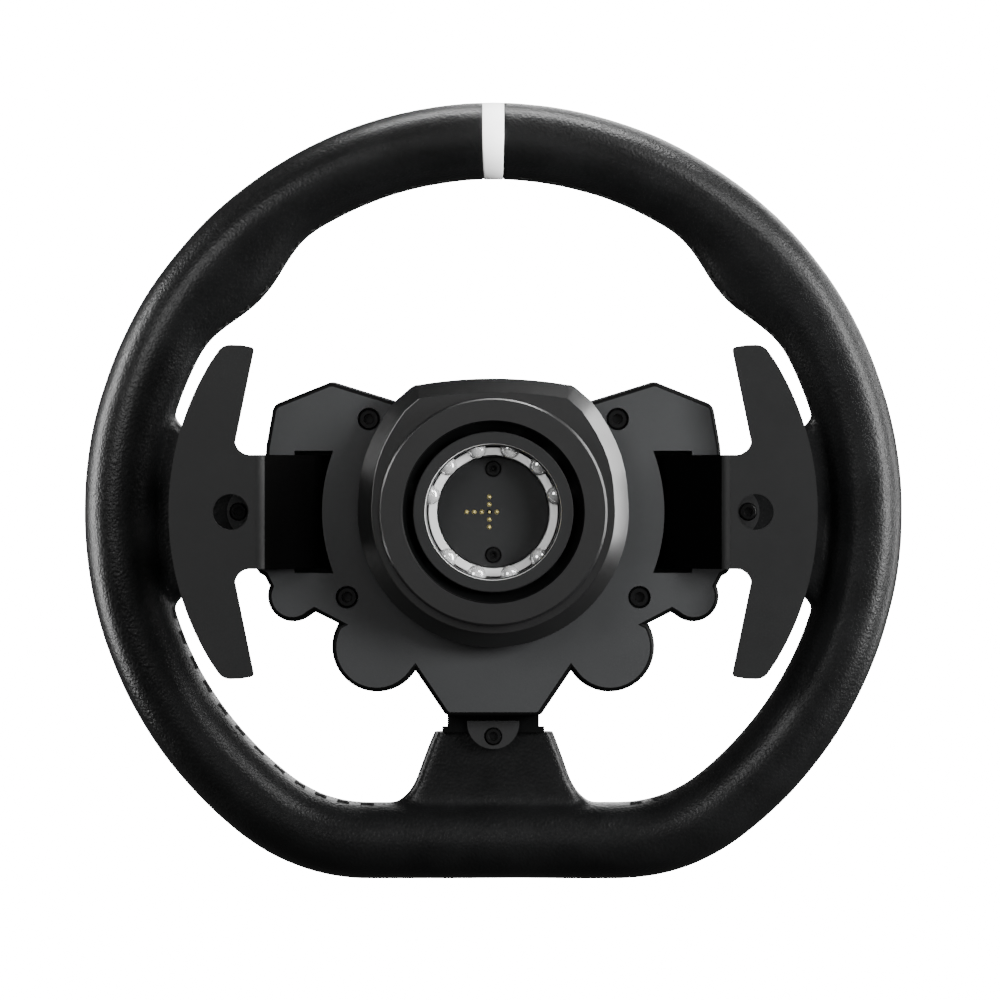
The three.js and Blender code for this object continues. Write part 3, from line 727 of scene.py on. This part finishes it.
def make_stitching():
    """Crossed threads over the seam, which runs along the inside of the rim towards its back."""
    pitch_count, substeps, steps = 76, 20, 8
    stations = rim_stations(pitch_count * substeps)
    threads = []
    for i in range(pitch_count):
        first = i * substeps
        x, z = stations[first][:2]
        over_bottom_spoke = abs(x) < 38 and z < 0
        over_side_spoke = abs(x) > 100 and -33 < z < 30
        if over_bottom_spoke or over_side_spoke or abs(x) < 7:
            continue
        for lean in (-1, 1):
            path = []
            for k in range(steps + 1):
                t = k / steps
                station = stations[(first + round(t * STITCH["reach"])) % len(stations)]
                lift = min(1, 2.4 * math.sin(math.pi * t))
                turn = math.pi + STITCH["seam_turn"] + lean * (t - 0.5) * STITCH["spread"]
                path.append(grip_point(station, turn, STITCH["sunk"] + STITCH["lift"] * lift))
            threads.append(tube("thread", path, STITCH["radius"], 6))
    stitching = merged("grip_stitching", threads)
    smooth_by_angle(stitching, 60)
    place(stitching, "hub", "grip_leather", thread)


# ------------------------------------------------------------------ hub shells

def hub_outline():
    """The back cover's edge: shoulders above, a small and a large lobe each side, and a foot."""
    half = [(33.4, 37.3)]
    half += arc(54.6, 39.7, 4, 112, 62, 8)
    half += arc(71.2, 33.5, 3.6, 58, 5, 7)
    half += [(76.8, 22.5), (80.1, -19.4)]
    half += [(79.2, -20.6), (77.4, -21.6)]
    half += arc(68, -28.6, 8.3, 24, -132, 24)
    half += [(60.5, -33.6), (51.6, -38.1)]
    half += arc(39.5, -45.9, 14.9, 30, -146, 32)
    half += [(26.4, -53.3), (16.2, -68.4), (15.0, -69.1)]
    return half + [(-x, z) for x, z in reversed(half)]


def pocket_cutter(sign):
    """The room that the paddle's web swings in."""
    half = POCKET["half_height"]
    corner = math.degrees(math.asin(half / POCKET["radius"]))
    outline = arc(0, 0, POCKET["radius"], -corner, corner, 16)
    outline += [(POCKET["outer_x"], half), (POCKET["outer_x"], -half)]
    return prism("pocket", [(x * sign, z) for x, z in outline], (0, COVER_BACK_Y + 6))


def in_painted_shade(middle, normal):
    """The faces that get painted shade: the back cover's rounded edge and the walls of its two
    pockets.
    """
    in_pocket = (abs(middle.x) < POCKET["outer_x"] + 0.5
                 and abs(middle.z) < POCKET["half_height"] + 0.5)
    on_edge = middle.y < COVER_BACK_Y + COVER_EDGE_RADIUS + 0.1
    return normal.y > -0.99 and (in_pocket or on_edge)


def make_back_cover():
    cover = rounded("hub_back_cover", hub_outline(), (COVER_BACK_Y, COVER_EDGE_Y), COVER_EDGE_RADIUS)
    inside = prism("inside", shrunk(hub_outline(), SHELL_WALL), (COVER_BACK_Y + SHELL_WALL, 40))
    cut(cover, inside, disc("neck", 0, 0, 32, (0, 30), 96))
    for sign in SIDES.values():
        cut(cover, pocket_cutter(sign))
        for x, z in COVER_SCREWS:
            join(cover, disc("boss", x * sign, z, 5.4, (COVER_BACK_Y + 1, COVER_EDGE_Y), 32))
            cut(cover, disc("counterbore", x * sign, z, 3.76, (0, 17), 48),
                disc("hole", x * sign, z, COVER_SCREW_HOLE, (10, 30), 24))
    soften(cover, 0.25, 2, 50)
    place(cover, "hub", "shell_plastic", shell_plastic, "back_cover")
    # Painted shade: the rounded edge and the pocket walls are coloured near black.
    paint(cover, painted_shade_black, in_painted_shade)


def make_front_shell():
    shell = rounded("hub_front_shell", shrunk(hub_outline(), -0.5), SHELL_Y[::-1], 1.6)
    cut(shell, prism("inside", shrunk(hub_outline(), SHELL_WALL), (10, SHELL_Y[1] - SHELL_WALL)))
    half = FRAME_ARM_HALF + CLEARANCE
    arm_y = (FRAME_Y[0] - CLEARANCE, FRAME_Y[1] + CLEARANCE)
    cut(shell, block("side_arms", (-90, 90), arm_y, (-half, half)),
        block("lower_arm", (-half, half), arm_y, (-80, 0)))
    for side in SIDES:
        for i in range(1, 6):
            cut(shell, disc("hole", *middle_xz(f"button_{side}_{i}"), BUTTON_HOLE, (38, 60), 48))
        cut(shell, disc("hole", *middle_xz(f"knob_{side}"), KNOB_SHAFT_HOLE, (38, 60)))
    low, high = span("light_bar")
    cut(shell, block("slot", (low[0] - CLEARANCE, high[0] + CLEARANCE), (low[1] - CLEARANCE, 60),
                     (low[2] - CLEARANCE, high[2] + CLEARANCE)))
    cut(shell, disc("seat", 0, 0, BADGE_SEAT_RADIUS, (SHELL_Y[1] - 1, 60), 96))
    soften(shell, 0.3, 2, 50)
    place(shell, "hub", "shell_plastic", shell_plastic, "front_shell")


def make_hub_frame():
    half = FRAME_ARM_HALF
    outline = [(-half, -60), (half, -60), (half, -73.2), (17.4, -73.2), (17.4, -75.2),
               (-17.4, -75.2), (-17.4, -73.2), (-half, -73.2)]
    plate = prism("hub_frame_plate", outline, (FRAME_Y[0] + 0.9, FRAME_Y[1]))
    join(plate, disc("middle", 0, 0, 34.5, FRAME_Y, 96))
    join(plate, block("neck", (-half, half), (FRAME_Y[0] + 0.9, FRAME_Y[1]), (-61, -20)))
    for sign in SIDES.values():
        arm_end = sign * 82.3
        join(plate, block("arm", sorted((0, arm_end)), FRAME_Y, (-15.5, 15.5)))
        join(plate, disc("tab", sign * 81.8, 0, TAB_RADIUS, FRAME_Y, 64))
        for x, z in COVER_SCREWS:
            join(plate, block("ear", sorted((sign * (x - 16), sign * x)), FRAME_Y,
                              (z - EAR_RADIUS, z + EAR_RADIUS)))
            join(plate, disc("ear", sign * x, z, EAR_RADIUS, FRAME_Y, 32))
            cut(plate, disc("hole", sign * x, z, COVER_SCREW_HOLE, (20, 30), 24))
    tab = arc(0, -71.9, TAB_RADIUS, 0, -180, 40)
    join(plate, prism("tab", tab + [(-TAB_RADIUS, -71.2), (TAB_RADIUS, -71.2)],
                      (FRAME_Y[0] - 0.9, FRAME_Y[1])))
    cut(plate, disc("bore", 0, 0, 14, (20, 30), 64))
    for x, z in SPOKE_SCREWS:
        cut(plate, disc("counterbore", x, z, 3.1, (20, 25), 40),
            disc("hole", x, z, SMALL_SCREW_HOLE, (20, 30), 24))
    soften(plate, 0.35, 3, 40)
    place(plate, "hub", "frame_metal", frame_metal, "hub_frame")
    # Painted shadow: the frame behind its raised tab is coloured near black, as if the housing shaded
    # it.
    paint(plate, painted_shade_black, lambda middle, normal: middle.y > FRAME_Y[0] + 0.4)


def cap_screw(name, head_radius, head_height, shank_radius, length, socket_radius):
    """A socket-head screw on the Y axis, its head's outer face at 0, pointing to +Y."""
    edge = head_radius * 0.12
    screw = turned(name, [(0, 0), (head_radius - edge, 0), (head_radius, edge),
                          (head_radius, head_height), (shank_radius, head_height),
                          (shank_radius, length - 0.4), (shank_radius - 0.4, length),
                          (0, length)], 40)
    socket = disc("socket", 0, 0, socket_radius, (-1, head_height * 0.6), 6)
    chamfer = turned("chamfer", [(0, -0.5), (socket_radius + 0.45, -0.5), (0.4, socket_radius),
                                 (0, socket_radius)], 32)
    cut(screw, socket, chamfer)
    smooth_by_angle(screw, 30)
    return screw


def screw_at(node, **size):
    """A fine screw in the place of a CAD screw."""
    low_y, high_y = span_y(node)
    x, z = middle_xz(node)
    screw = cap_screw(f"{node}_cap", length=high_y - low_y, **size)
    move(screw, x, low_y, z)
    place(screw, "hub", "screw_steel", screw_steel, node)


def make_screws():
    for row in ("upper", "lower"):
        for side in SIDES:
            screw_at(f"cover_screw_{row}_{side}", head_radius=3.4, head_height=3.6,
                     shank_radius=2, socket_radius=1.75)
        screw_at(f"plate_screw_{row}", head_radius=2.55, head_height=1.0, shank_radius=1.5,
                 socket_radius=1.25)
    for side in ("bottom", "left", "right"):
        screw_at(f"spoke_screw_{side}", head_radius=2.8, head_height=2.6, shank_radius=1.5,
                 socket_radius=1.5)


# ------------------------------------------------------------------ quick release

def collar_outline():
    """The flange: a half circle below, bulging flanks, and a flat arch on top."""
    right = arc(0, 0, COLLAR_RADII["flange"], -90, 6, 56)
    right += [(45.1, 9.0), (44.4, 13.8), (43.1, 18.9), (41.2, 23.8), (38.9, 28.4), (36.1, 33.0)]
    right += [(33.2, 37.1), (27.8, 41.8), (26.2, 42.7)]
    right += arc(0, -105.1, 150, 80.4, 90, 12)[:-1]
    right.append((0, 44.9))
    return right + [(-x, z) for x, z in reversed(right[1:-1])]


def make_collar():
    back_y, top_y = COLLAR_Y
    flange_steps = ((4.9, 0), (4.7, 0.06), (0.4, 3.6), (0, 3.9), (0, top_y - COLLAR_FACE_Y - 0.5),
                    (0.5, top_y - COLLAR_FACE_Y))
    outline = collar_outline()
    flange = stacked("release_collar_ring",
                     [(shrunk(outline, shrink), COLLAR_FACE_Y + y) for shrink, y in flange_steps])
    ring = COLLAR_RADII["ring"]
    tower = turned("tower", [(0, back_y), (ring - 0.55, back_y), (ring - 0.5, back_y + 0.02),
                             (ring, back_y + 0.55), (ring, COLLAR_FACE_Y - 0.5),
                             (ring + 0.5, COLLAR_FACE_Y), (ring + 0.5, 0), (0, 0)], 192)
    join(flange, tower)
    mouth, bore = COLLAR_RADII["mouth"], COLLAR_RADII["bore"]
    core = turned("core", [(0, back_y - 1), (mouth + 1.35, back_y - 1), (mouth, back_y + 0.35),
                           (mouth, COLLAR_RAMP_Y[0]), (bore, COLLAR_RAMP_Y[1]), (bore, -3.5),
                           (31, -3.5), (31, 20), (0, 20)], 160)
    cut(flange, core)
    smooth_by_angle(flange, 16)
    flatten_shading(flange)
    place(flange, "collar", "collar_metal", collar_metal, "release_collar")
    # Painted shade: the walls of the collar's bore are coloured near black.
    paint(flange, painted_shade_black, lambda middle, normal: math.hypot(middle.x, middle.z) < mouth + 0.3
          and normal.y > -0.95)


def make_ball_cage():
    low, high = CAGE_Y
    flange, inner, outer = CAGE["flange"], CAGE["inner"], CAGE["outer"]
    cage = lathe("ball_cage_sleeve", [
        (inner + 0.6, low), (flange - 0.3, low), (flange, low + 0.3), (flange, low + 1.8),
        (outer, low + 1.8), (outer, high), (inner, high), (inner, low + 0.8),
        (inner + 0.35, low + 0.5), (inner + 0.4, low + 0.3)], 160)
    for angle in BALL_ANGLES:
        hole = disc("hole", 0, 0, BALL_RADIUS + 0.2, (0, 8), 32)
        turn_about(hole, "Z", -90)
        move(hole, 19.5, BALL_Y, 0)
        turn_about(hole, "Y", -angle)
        cut(cage, hole)
    smooth_by_angle(cage, 30)
    place(cage, "hub", "cage_metal", cage_metal, "ball_cage")
    # Painted highlight: a thin band of the bright steel on the bore's chamfer makes the light line
    # there; the rest of the bore keeps the dark cage coat.
    paint(cage, ring_steel, lambda middle, normal: middle.y < low + 0.25
          and inner + 0.38 < math.hypot(middle.x, middle.z) < inner + 0.6)


def make_balls():
    for i, degrees in enumerate(BALL_ANGLES, 1):
        node = f"ball_{i:02d}"
        angle = math.radians(degrees)
        bm = bmesh.new()
        bmesh.ops.create_uvsphere(bm, u_segments=40, v_segments=24, radius=BALL_RADIUS * MM)
        centre = Vector((math.cos(angle), 0, math.sin(angle))) * BALL_CENTRE_RADIUS
        centre = (centre + Vector((0, BALL_Y, 0))) * MM
        bmesh.ops.translate(bm, verts=bm.verts, vec=centre)
        mesh = bpy.data.meshes.new(node)
        bm.to_mesh(mesh)
        bm.free()
        ball = new_object(f"locking_{node}", mesh)
        smooth_by_angle(ball, 60)
        place(ball, node, "bright_steel", ball_steel, node)


def make_socket_floor():
    low, high = span("locating_ring")
    inner, outer = 18.9, high[0]
    ring = lathe("socket_locating_ring", [
        (inner, low[1] + 0.3), (inner + 0.3, low[1]), (outer - 0.3, low[1]),
        (outer, low[1] + 0.3), (outer, high[1]), (inner, high[1])], 160)
    smooth_by_angle(ring, 30)
    place(ring, "hub", "bright_steel", ring_steel, "locating_ring")

    low, high = span("contact_plate")
    plate = turned("contact_plate_disc", [
        (0, low[1]), (high[0] - 0.35, low[1]), (high[0], low[1] + 0.35), (high[0], high[1]),
        (0, high[1])], 128)
    for z in (PLATE_SCREW_Z, -PLATE_SCREW_Z):
        cut(plate, disc("counterbore", 0, z, 2.86, (-2, 1.4), 40),
            disc("hole", 0, z, SMALL_SCREW_HOLE, (0, 6), 24))
    places = [(step * PIN_PITCH, 0) for step in (-3.5, -2.5, -1.5, -0.5, 0.5)]
    places += [(-0.5 * PIN_PITCH, step * PIN_PITCH) for step in (-2, -1, 1, 2)]
    pins = [turned("carrier", [(0, 3.4), (9.6, 3.4), (10, 3.8), (10, 4.6), (0, 4.6)], 64)]
    for x, z in places:
        cut(plate, disc("hole", x, z, 0.85, (-1, 6), 20))
        pin = turned("pin", [(0, -0.5), (0.3, -0.44), (0.48, -0.2), (0.5, 0.1), (0.5, 4), (0, 4)], 16)
        move(pin, x, 0, z)
        pins.append(pin)
    smooth_by_angle(plate, 30)
    place(plate, "hub", "plate_plastic", plate_plastic, "contact_plate")
    gold = merged("gold_contact_pins", pins)
    smooth_by_angle(gold, 40)
    place(gold, "hub", "pin_gold", pin_gold, "contact_pins")


def make_collar_spring():
    low_y, high_y = span_y("collar_spring")
    turns, wire, radius = 3, 0.8, 28.3
    steps = turns * 48
    path = []
    for i in range(steps + 1):
        t = i / steps
        angle = t * turns * FULL_TURN
        y = low_y + wire + (high_y - low_y - 2 * wire) * t
        path.append((radius * math.cos(angle), y, radius * math.sin(angle)))
    spring = tube("collar_return_spring", path, wire, 12)
    smooth_by_angle(spring, 60)
    place(spring, "hub", "bright_steel", bright_steel, "collar_spring")


# ------------------------------------------------------------------ paddles

def blade_outline():
    upper = [(BEND_X + 1.2, WEB_HALF_HEIGHT)]
    upper += arc(81.4, 24.3, 5.15, -90, -10, 12)
    upper += [(80.3, 53.4)]
    upper += arc(81.3, 54.2, 1.1, 190, 100, 6)
    upper += [(84.5, 55.9), (88.0, 56.0)]
    upper += arc(88.0, 51.0, 5.0, 80, 36, 8)
    outer = arc(12.2, 0, 96.5, 31.5, -31.5, 72)
    return upper + outer + [(x, -z) for x, z in reversed(upper)]


def bent_web():
    """The profile of the bend, the sloping web and the tail, in X and Y."""
    half = (BLADE_Y[1] - BLADE_Y[0]) / 2
    middle_y = (BLADE_Y[0] + BLADE_Y[1]) / 2
    slope = math.atan2(TAIL_Y - middle_y, BEND_X - TAIL_BEND_X)
    line = [(BEND_X + 1.8, middle_y)]
    for corner, before, after in (((BEND_X, middle_y), 0, slope), ((TAIL_BEND_X, TAIL_Y), slope, 0)):
        reach = 1.6
        start = Vector(corner) + Vector((math.cos(before), -math.sin(before))) * reach
        end = Vector(corner) + Vector((-math.cos(after), math.sin(after))) * reach
        for i in range(7):
            t = i / 6
            point = start * (1 - t) ** 2 + Vector(corner) * 2 * t * (1 - t) + end * t ** 2
            line.append(tuple(point))
    line.append((TAIL_END_X, TAIL_Y))
    near, far = [], []
    for i, point in enumerate(line):
        before, after = line[max(i - 1, 0)], line[min(i + 1, len(line) - 1)]
        along = Vector((after[0] - before[0], after[1] - before[1])).normalized()
        across = Vector((-along.y, along.x)) * half
        near.append((point[0] + across.x, point[1] + across.y))
        far.append((point[0] - across.x, point[1] - across.y))
    return near + far[::-1]


def make_paddle(side, sign):
    profile = bent_web()
    count = len(profile)
    points = [(x, y, z) for z in (-WEB_HALF_HEIGHT, WEB_HALF_HEIGHT) for x, y in profile]
    faces = [(i, (i + 1) % count, (i + 1) % count + count, i + count) for i in range(count)]
    faces += [tuple(range(count)), tuple(range(2 * count - 1, count - 1, -1))]
    web = mesh_of("web", points, faces)
    paddle = prism(f"shift_paddle_{side}", blade_outline(), BLADE_Y)
    cut(paddle, disc("hole", PADDLE_HOLE[0], 0, PADDLE_HOLE[1], (-20, 20), 64))
    join(paddle, web)
    soften(paddle, 0.28, 2, 30)
    mirror(paddle, sign)
    place(paddle, f"paddle_{side}_swing", "paddle_metal", paddle_metal, f"paddle_{side}")
    # Painted shade: the sloping web and its tail are coloured near black, while the bend keeps the
    # paddle's metal.
    paint(paddle, web_painted_shade, lambda middle, normal: abs(middle.x) < BEND_X - 2)


# ------------------------------------------------------------------ driver's side

def make_button(side, index):
    node = f"button_{side}_{index}"
    foot, top = span_y(node)
    x, z = middle_xz(node)
    cap = turned(f"{node}_cap_piece", [
        (0, foot), (5.5, foot), (5.5, foot + 1.8), (4.8, foot + 1.8), (4.8, top - 1.0),
        (4.6, top - 0.5), (4.1, top - 0.12), (3.4, top), (2.6, top - 0.1), (1.2, top - 0.4),
        (0, top - 0.5)], 64)
    move(cap, x, 0, z)
    smooth_by_angle(cap, 35)
    place(cap, f"{node}_cap", "button_plastic", button_plastic, node)


def make_knob(side):
    node = f"knob_{side}"
    x, z = middle_xz(node)
    top = span_y(node)[1]
    teeth = 36
    points, faces = [], []
    profile = [(9.6, 46.8, 0), (10.2, 47.4, 1), (10.2, top - 1.6, 1), (9.5, top - 0.5, 0.4),
               (8.6, top, 0), (7.2, top, 0), (6.4, top - 0.5, 0)]
    sides = teeth * 6
    for i in range(sides):
        turn = FULL_TURN * i / sides
        groove = 0.45 * max(0.0, math.cos(turn * teeth)) ** 2
        for radius, y, knurl in profile:
            reach = radius - groove * knurl
            points.append((reach * math.cos(turn), y, reach * math.sin(turn)))
    count = len(profile)
    for i in range(sides):
        here, there = i * count, (i + 1) % sides * count
        faces += [(here + j, here + j + 1, there + j + 1, there + j) for j in range(count - 1)]
    faces.append(tuple(i * count for i in range(sides)))
    faces.append(tuple(i * count + count - 1 for i in reversed(range(sides))))
    knob = mesh_of(f"{node}_dial_piece", points, faces)
    join(knob, disc("shaft", 0, 0, KNOB_SHAFT_RADIUS, (38, 47.5), 32))
    move(knob, x, 0, z)
    smooth_by_angle(knob, 40)
    place(knob, f"{node}_dial", "knob_plastic", knob_plastic, node)
    mark = block(f"{node}_pointer", (-0.5, 0.5), (top - 0.9, top - 0.05), (3.0, 8.4))
    soften(mark, 0.15, 2)
    move(mark, x, 0, z)
    place(mark, f"{node}_dial", "stripe_leather", marking_white)


def make_front_trim():
    low, high = span("light_bar")
    bar = block("rev_light_bar", (low[0], high[0]), (low[1], high[1]), (low[2], high[2]))
    for i in range(1, 10):
        x = low[0] + (high[0] - low[0]) * i / 10
        cut(bar, block("gap", (x - 0.25, x + 0.25), (high[1] - 0.4, high[1] + 1),
                       (low[2] - 1, high[2] + 1)))
    soften(bar, 0.25, 2)
    place(bar, "hub", "light_lens", lens_material(), "light_bar")

    low, high = span("front_badge")
    radius, top = high[0], high[1]
    badge = turned("blank_front_badge", [
        (0, low[1]), (radius, low[1]), (radius, top - 0.5), (radius - 0.5, top),
        (radius - 2.2, top), (radius - 2.8, top - 0.5), (radius - 3.2, top - 0.5),
        (radius - 3.8, top - 0.1), (radius - 8, top), (0, top)], 128)
    smooth_by_angle(badge, 25)
    place(badge, "hub", "badge_plastic", badge_plastic, "front_badge")


def dress_hidden_nodes():
    """The CAD nodes whose shape is right keep it and get a material and rounded edges."""
    looks = {"rim_core": core_metal, "main_board": board_material(), "hub_adapter": adapter_metal}
    for side in SIDES:
        looks[f"paddle_arm_{side}"] = arm_plastic
        looks[f"paddle_switch_{side}"] = arm_plastic
        looks[f"paddle_pin_{side}"] = bright_steel
        looks[f"paddle_magnet_{side}"] = bright_steel
    for name, look in looks.items():
        node = nodes[name]
        node.data.materials.clear()
        node.data.materials.append(look)
        bevel = node.modifiers.new("edges", "BEVEL")
        bevel.width = 0.2 * MM
        bevel.segments = 2
        bevel.limit_method = "ANGLE"
        bevel.angle_limit = math.radians(40)


# ------------------------------------------------------------------ stage

def make_camera():
    camera = bpy.data.objects.new("camera", bpy.data.cameras.new("camera"))
    bpy.context.scene.collection.objects.link(camera)
    camera.location = (0.0023, RIM_MIDDLE_Y * MM - 1.7, 0.0040)
    camera.rotation_euler = (math.pi / 2, 0, 0)
    camera.data.lens = 178.6
    camera.data.sensor_width = 36
    bpy.context.scene.camera = camera


def make_light(name, place_m, size_m, power, aim_m=(0, 0.03, 0)):
    light = bpy.data.lights.new(name, "AREA")
    light.shape = "RECTANGLE"
    light.size, light.size_y = size_m
    light.energy = power
    obj = bpy.data.objects.new(name, light)
    bpy.context.scene.collection.objects.link(obj)
    obj.location = place_m
    obj.rotation_euler = (Vector(aim_m) - obj.location).to_track_quat("-Z", "Y").to_euler()
    return obj


def make_stage():
    floor = turned("studio_floor", [(0, -1), (1200, -1), (1200, 0), (0, 0)], 96)
    turn_about(floor, "X", 90)
    move(floor, 0, 0, FLOOR_Z)
    paper = Surface("floor_paper", grey(0.8), 0.7)
    paper.shade(paper.noise(3), grey(0.79), grey(0.81))
    floor.data.materials.append(paper.material)
    floor.visible_diffuse = False
    floor.visible_glossy = False

    world = bpy.data.worlds.new("studio")
    bpy.context.scene.world = world
    world.use_nodes = True
    tree = world.node_tree
    background = tree.nodes["Background"]
    rays = tree.nodes.new("ShaderNodeLightPath")
    backdrop = tree.nodes.new("ShaderNodeBackground")
    mix = tree.nodes.new("ShaderNodeMixShader")
    background.inputs["Color"].default_value = (1, 1, 1, 1)
    background.inputs["Strength"].default_value = 0.06
    backdrop.inputs["Color"].default_value = (1, 1, 1, 1)
    backdrop.inputs["Strength"].default_value = 18
    tree.links.new(rays.outputs["Is Camera Ray"], mix.inputs["Fac"])
    tree.links.new(background.outputs["Background"], mix.inputs[1])
    tree.links.new(backdrop.outputs["Background"], mix.inputs[2])
    tree.links.new(mix.outputs["Shader"], tree.nodes["World Output"].inputs["Surface"])

    make_light("key_right", (0.9, -0.9, 1.2), (0.4, 0.4), 8)
    make_light("edge_right", (1.45, -0.25, 0.35), (0.45, 1.5), 42)
    make_light("rim_right", (1.2, 0.75, 0.2), (0.25, 1.3), 8)
    make_light("rim_left", (-1.3, 0.3, 0.1), (0.35, 1.3), 30)
    make_light("top", (0.1, 0.35, 1.3), (1.0, 0.25), 22)
    make_light("soft_left", (-0.9, -1.4, 0.55), (0.7, 0.7), 11)
    make_light("fill_driver", (0.5, 1.8, 0.9), (1.2, 1.2), 22)
    make_light("glint", (0.05, -1.95, 0.1), (0.3, 0.3), 0.35).visible_diffuse = False
    make_light("fill_back", (0.4, -1.9, 0.3), (0.8, 0.8), 6).visible_glossy = False
    make_light("side_fill", (0.42, -0.42, 0.1), (0.2, 0.2), 11).visible_glossy = False
    stripe_fill = make_light("stripe_fill", (0, -0.14, 0.3), (0.1, 0.1), 0.08, (0, 0.02, 0.13))
    stripe_fill.visible_glossy = False
    stripe_fill.data.spread = math.radians(40)


make_camera()
make_grip()
make_stripe()
make_stitching()
make_back_cover()
make_front_shell()
make_hub_frame()
make_screws()
make_collar()
make_ball_cage()
make_balls()
make_socket_floor()
make_collar_spring()
for side_name, side_sign in SIDES.items():
    make_paddle(side_name, side_sign)
    for number in range(1, 6):
        make_button(side_name, number)
    make_knob(side_name)
make_front_trim()
dress_hidden_nodes()
make_stage()
